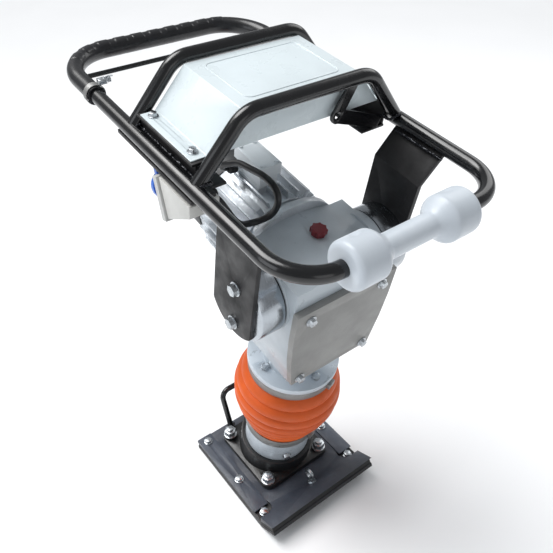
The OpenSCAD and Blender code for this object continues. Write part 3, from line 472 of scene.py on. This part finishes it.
def handle_path(step):
    """The centreline under the sleeve, from the left end round the rear bar to the right end, in mm."""
    corner_x, corner_t = RAIL_X - BACK_BEND, BAR_BACK - BACK_BEND
    count = int(math.pi / 2 * BACK_BEND / step)
    turn = [math.pi / 2 * i / count for i in range(count)]
    points = []
    t = SLEEVE_LEFT
    while t < corner_t:
        points.append((-RAIL_X, t))
        t += step
    for a in turn:
        points.append((-corner_x - BACK_BEND * math.cos(a), corner_t + BACK_BEND * math.sin(a)))
    x = -corner_x
    while x < corner_x:
        points.append((x, BAR_BACK))
        x += step
    for a in turn:
        points.append((corner_x + BACK_BEND * math.sin(a), corner_t + BACK_BEND * math.cos(a)))
    t = corner_t
    while t > SLEEVE_RIGHT:
        points.append((RAIL_X, t))
        t -= step
    points.append((RAIL_X, SLEEVE_RIGHT))
    return points


def grip_sleeve():
    """Rubber sleeve with raised blocks along the top of the rear bar and a lip at each end."""
    points = handle_path(1.6)
    sides = 56
    lengths = [0.0]
    for a, b in zip(points, points[1:]):
        lengths.append(lengths[-1] + math.dist(a, b))
    total = lengths[-1]
    middle = total / 2
    bar_half = RAIL_X - 20

    def pad(run, angle):
        # Blocks side by side along the bar, over the upper half of the tube.
        along = run - middle
        if abs(along) > bar_half:
            return 0.0
        u = ((along / PAD_PITCH) % 1.0 - 0.5) * PAD_PITCH
        across = math.degrees(math.atan2(math.cos(angle), math.sin(angle)))
        in_u = max(0.0, min(1.0, (PAD_LONG / 2 - abs(u)) / 1.6))
        in_a = max(0.0, min(1.0, (PAD_HALF_ANGLE - abs(across)) / 6.0))
        return PAD_HIGH * in_u * in_a

    vertices = []
    outer_rings = len(points)

    def frame_at(i):
        a = points[max(i - 1, 0)]
        b = points[min(i + 1, outer_rings - 1)]
        d = Vector((b[0] - a[0], b[1] - a[1], 0)).normalized()
        return d, Vector((d.y, -d.x, 0))

    def ring(i, radius_of):
        d, side = frame_at(i)
        x, y = points[i]
        for k in range(sides):
            a = 2 * math.pi * k / sides
            r = radius_of(a)
            p = Vector((x, y, 0)) + side * r * math.cos(a) + Vector((0, 0, 1)) * r * math.sin(a)
            vertices.append(at(DECK, *p))

    ring(0, lambda a: TUBE_R + 0.15)
    for i in range(outer_rings):
        run = lengths[i]
        lip = 0.8 * math.exp(-(min(run, total - run) / 4.0) ** 2)
        wave = 0.12 * noise.noise(Vector((run * 0.05, 0, 3)))
        ring(i, lambda a, run=run, lip=lip, wave=wave: SLEEVE_R - 0.9 + lip + wave + pad(run, a))
    ring(outer_rings - 1, lambda a: TUBE_R + 0.15)
    rings = outer_rings + 2
    for i in range(outer_rings - 2, 0, -6):
        ring(i, lambda a: TUBE_R + 0.15)
        rings += 1
    o = mesh_object("grip_rubber_sleeve", vertices, grid_faces(rings, sides, closed_loop=True), M["grip"],
                    sharp=50)
    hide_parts("grip_sleeve")
    rides(o, "handle")


grip_sleeve()


def worm_clamp():
    """Band, screw housing and the tail of the band at the left end of the sleeve."""
    ring_frame = DECK @ move(-RAIL_X, SLEEVE_LEFT + 4, 0) @ turn_x(-90)
    inner, outer, wide = SLEEVE_R + 0.2, SLEEVE_R + 1.4, 11
    band = lathe("clamp_band", ring_frame, [(inner, 0), (outer, 0), (outer, wide), (inner, wide)],
                 M["band"], 72)
    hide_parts("sleeve_clamp")
    rides(band, "handle")
    box_frame = DECK @ move(-RAIL_X + 10, SLEEVE_LEFT + 4, 12)
    rides(block("clamp_housing", box_frame, (-2, -0.5, 2), (12, 11.5, 10), M["zinc"], 1.2), "handle")
    screw = DECK @ move(-RAIL_X + 20, SLEEVE_LEFT + 9.5, 18) @ Matrix.Rotation(math.radians(90), 4, "Y")
    rides(lathe("clamp_screw", screw, [(0.05, -2), (3.4, -2), (3.4, 5), (4.6, 5), (4.6, 9), (0.05, 9)],
                M["zinc"], 20), "handle")
    tail = [at(DECK, -RAIL_X + x, SLEEVE_LEFT + y, z) for x, y, z in
            ((9, 9, 16), (18, 10, 21), (28, 12, 22), (36, 16, 19))]
    rides(tube("clamp_tail", smooth_path(tail, 6), 1.4 * MM, M["zinc"], 10), "handle")


worm_clamp()

HOOP_AT, HOOP_R, LEG_ANGLE = (60, 237), 11.0, 50.0


def weld_ring(name, frame_of, centre, axis_angle, radius, bead, material, body, sides=96):
    """A rippled bead round the foot of a tube that meets the rail."""
    path = []
    for k in range(sides):
        a = 2 * math.pi * k / sides
        # The ring is stretched where the tube leans, and follows the rail's round top.
        y = radius * math.sin(a)
        x = radius * math.cos(a) / math.sin(math.radians(axis_angle))
        drop = math.sqrt(max(0.0, (TUBE_R + 1.2) ** 2 - min(x * x, (TUBE_R - 0.5) ** 2)))
        path.append(at(frame_of, centre[0] + x, centre[1] + y, centre[2] + drop))

    def ripple(run, angle):
        rough = 0.12 * noise.noise(Vector((run * 400, angle, 1)))
        return bead * MM * (1 + 0.18 * math.sin(run / MM * 1.7) + rough)

    rides(tube(name, path, bead * MM, material, 12, closed=True, shape=ripple), body)


for side_name, sign in (("left", -1), ("right", 1)):
    for hoop_name, t in (("front", HOOP_AT[0]), ("rear", HOOP_AT[1])):
        weld_ring(f"weld_{hoop_name}_{side_name}", DECK, (sign * (RAIL_X - 9.5), t, -1.5), LEG_ANGLE,
                  HOOP_R + 1.0, 2.2, M["weld"], "handle")


BRACKET_WELD_X, PLATE_WELD_X = 179.2, 178


def weld_line(name, frame_of, a, b, bead, body, seed=0):
    count = max(6, int(math.dist(a, b) / 2.2))
    path = []
    for i in range(count + 1):
        u = i / count
        p = [a[k] + (b[k] - a[k]) * u for k in range(3)]
        wob = noise.noise(Vector((i * 0.6, seed, 2)))
        path.append(at(frame_of, p[0] + 0.5 * wob, p[1], p[2] + 0.4 * wob))

    def ripple(run, angle):
        rough = 0.35 * noise.noise(Vector((run * 180, seed, angle)))
        return bead * MM * (1 + 0.2 * math.sin(run / MM * 1.5) + rough)

    rides(tube(name, path, bead * MM, M["weld"], 10, shape=ripple), body)


for side_name, sign in (("left", -1), ("right", 1)):
    x = sign * BRACKET_WELD_X
    weld_line(f"weld_bracket_{side_name}", DECK, (x, 76, 6.5), (x, 222, 6.5), 2.6, "handle",
              seed=sign * 3)
    x = sign * PLATE_WELD_X
    weld_line(f"weld_plate_front_{side_name}", LEG, (x, -55.5, 826), (x, 42, 821), 2.2, "handle",
              seed=sign * 5)


# ---------------------------------------------------------------- hood

HOOD_HIGH = 89
OUTLINE_X, OUTLINE_FROM, OUTLINE_TO, OUTLINE_BEND, OUTLINE_SINK = 84, 94, 206, 12, 0.3


def hood_panel():
    """The raised outline on top of the hood: a rounded rectangle of low, soft-edged ridge."""
    bend = OUTLINE_BEND
    right, left = OUTLINE_X - bend, bend - OUTLINE_X
    front, back = OUTLINE_FROM + bend, OUTLINE_TO - bend
    path = []
    for cx, cy, start in ((right, back, 0), (left, back, 90), (left, front, 180), (right, front, 270)):
        for k in range(9):
            a = math.radians(start + 90 * k / 8)
            path.append(at(DECK, cx + bend * math.cos(a), cy + bend * math.sin(a), HOOD_HIGH - OUTLINE_SINK))
    rides(tube("hood_outline", path, 1.3 * MM, M["hood"], 12, closed=True), "handle")


hood_panel()


# ---------------------------------------------------------------- roller

ROLLER_X, ROLLER_R, ROLLER_MID, ROLLER_HALF = -12, 34, 18, 109
ROLLER_RIM, DRUM, CONE = 9, 44, 26
DIMPLE_R, DIMPLE_DEEP, DIMPLE_IN, DIMPLE_TURN = 9, 2.4, 26, 0.55
ROLLER = DECK @ move(ROLLER_X, -BAR_FRONT, 0) @ Matrix.Rotation(math.radians(90), 4, "Y")


def roller():
    half = []
    # From the end face inwards: a rounded rim, the drum, and an S-curve down to the slim middle.
    half += [(TUBE_R + 0.1, ROLLER_HALF), (ROLLER_R - ROLLER_RIM - 3, ROLLER_HALF)]
    for k in range(9):
        a = math.radians(10 * k)
        half.append((ROLLER_R - ROLLER_RIM + ROLLER_RIM * math.sin(a),
                     ROLLER_HALF - ROLLER_RIM + ROLLER_RIM * math.cos(a)))
    drum_from = ROLLER_RIM + 2
    for k in range(18):
        half.append((ROLLER_R, ROLLER_HALF - drum_from - (DRUM - drum_from) * k / 18))
    for k in range(21):
        u = k / 20
        ease = u * u * (3 - 2 * u)
        half.append((ROLLER_R - (ROLLER_R - ROLLER_MID) * ease, ROLLER_HALF - DRUM - CONE * u))
    profile = half + [(r, -h) for r, h in reversed(half)]

    def dimpled(r, angle, h):
        # A thumb-sized dimple on each drum.
        for centre in (-ROLLER_HALF + DIMPLE_IN, ROLLER_HALF - DIMPLE_IN):
            d = math.hypot((angle - math.pi + DIMPLE_TURN) * ROLLER_R, h - centre)
            if d < DIMPLE_R:
                r -= DIMPLE_DEEP * (1 - (d / DIMPLE_R) ** 2) ** 1.5
        return r

    o = lathe("front_roller", ROLLER, profile, M["roller"], sides=180, shape=dimpled, sharp=50)
    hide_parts("roller")
    rides(o, "roller")


roller()


# ---------------------------------------------------------------- motor cable

CABLE_R = 5.5
CABLE_ROUTE = [
    (-157, 85, 790), (-148, 85, 789), (-138, 78, 781), (-128, 71, 764), (-116, 67, 742),
    (-100, 68, 724), (-82, 70, 716), (-65, 64, 720), (-54, 54, 735), (-50, 48, 756), (-50, 50, 774),
    (-50, 64, 784), (-50, 88, 784), (-50, 122, 775), (-52, 152, 767), (-60, 168, 758), (-63, 179, 748),
    (-57, 182, 740), (-46, 181, 736), (-36, 181, 736), (-24, 181, 736),
]


def motor_cable():
    path = smooth_path([at(LEG, *p) for p in CABLE_ROUTE], 8)
    o = tube("motor_lead", path, CABLE_R * MM, M["cable"], 20)
    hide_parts("motor_cable")
    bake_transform(o)


motor_cable()


def gland(name, frame_of, body):
    """A cable gland: hexagon base, ribbed dome nut and lip."""
    def ribbed(r, angle, h):
        return r - (0.5 if r > 9 and math.cos(12 * angle) > 0.3 else 0.0)
    profile = [(CABLE_R + 0.2, 0), (10.5, 0), (10.5, 4), (9.6, 4.5), (9.6, 11), (7.2, 14),
               (CABLE_R + 0.2, 14)]
    rides(lathe(name, frame_of, profile, M["rubber"], 96, shape=ribbed, sharp=30), body)


gland("gland_terminal", LEG @ move(-37, 181, 736) @ Matrix.Rotation(math.radians(-90), 4, "Y"), "machine")
gland("gland_switch", LEG @ move(-152, 85, 790) @ Matrix.Rotation(math.radians(90), 4, "Y"), "handle")


# ---------------------------------------------------------------- floor, light and camera

def floor():
    m = new_material("studio_floor", (0.93, 0.94, 0.95), 0.6)
    n = Nodes(m)
    n.rough(n.ramp(n.noise(3.0, 3.0), [(0.3, 0.55), (0.7, 0.65)]))
    bpy.ops.mesh.primitive_plane_add(size=14, location=(0, 0, -0.0005))
    o = bpy.context.object
    o.name = "studio_floor"
    o.data.materials.append(m)


floor()


def area_light(name, place, target, size, power, tint=(1, 1, 1)):
    data = bpy.data.lights.new(name, "AREA")
    data.energy, data.size, data.color = power, size, tint
    o = bpy.data.objects.new(name, data)
    bpy.context.scene.collection.objects.link(o)
    o.location = place
    o.rotation_euler = (Vector(target) - Vector(place)).to_track_quat("-Z", "Y").to_euler()


MIDDLE = Vector((0, -0.05, 0.5))
area_light("key", (-0.9, 1.5, 2.9), MIDDLE, 1.8, 26, (1.0, 0.99, 0.97))
area_light("left_fill", (-2.6, 0.2, 1.6), MIDDLE, 1.6, 14, (0.93, 0.96, 1.0))
area_light("right", (2.3, 0.4, 2.2), MIDDLE, 1.6, 14)
area_light("front_low", (-0.4, -2.6, 1.2), MIDDLE, 1.2, 4)


def sun_light(name, direction, softness, strength):
    data = bpy.data.lights.new(name, "SUN")
    data.energy, data.angle = strength, math.radians(softness)
    o = bpy.data.objects.new(name, data)
    bpy.context.scene.collection.objects.link(o)
    o.rotation_euler = Vector(direction).to_track_quat("-Z", "Y").to_euler()


# A broad, even light from above and behind, so that the whole floor is pale.
sun_light("sky", (0.25, -0.45, -1.0), 40, 2.3)

world = bpy.data.worlds.new("studio")
bpy.context.scene.world = world
world.use_nodes = True
world.node_tree.nodes["Background"].inputs["Color"].default_value = (0.93, 0.95, 0.98, 1)
world.node_tree.nodes["Background"].inputs["Strength"].default_value = 0.35

bpy.context.scene.view_settings.view_transform = "Standard"

# The camera stands in front of the left side, above the machine, and looks down at it.
CAMERA_PLACE = Vector((-0.5270, -0.7366, 1.2390))
CAMERA_AZIMUTH, CAMERA_TILT, CAMERA_ROLL = -36.51, 38.09, -0.94
SENSOR, IMAGE, FOCAL_PIXELS = 36.0, 553, 612.0


def camera():
    data = bpy.data.cameras.new("camera")
    data.sensor_width = SENSOR
    data.lens = SENSOR * FOCAL_PIXELS / IMAGE
    o = bpy.data.objects.new("camera", data)
    bpy.context.scene.collection.objects.link(o)
    o.location = CAMERA_PLACE
    o.matrix_world = (Matrix.Translation(CAMERA_PLACE)
                      @ Matrix.Rotation(math.radians(CAMERA_AZIMUTH), 4, "Z")
                      @ turn_x(90 - CAMERA_TILT)
                      @ Matrix.Rotation(math.radians(CAMERA_ROLL), 4, "Z"))
    bpy.context.scene.camera = o


camera()
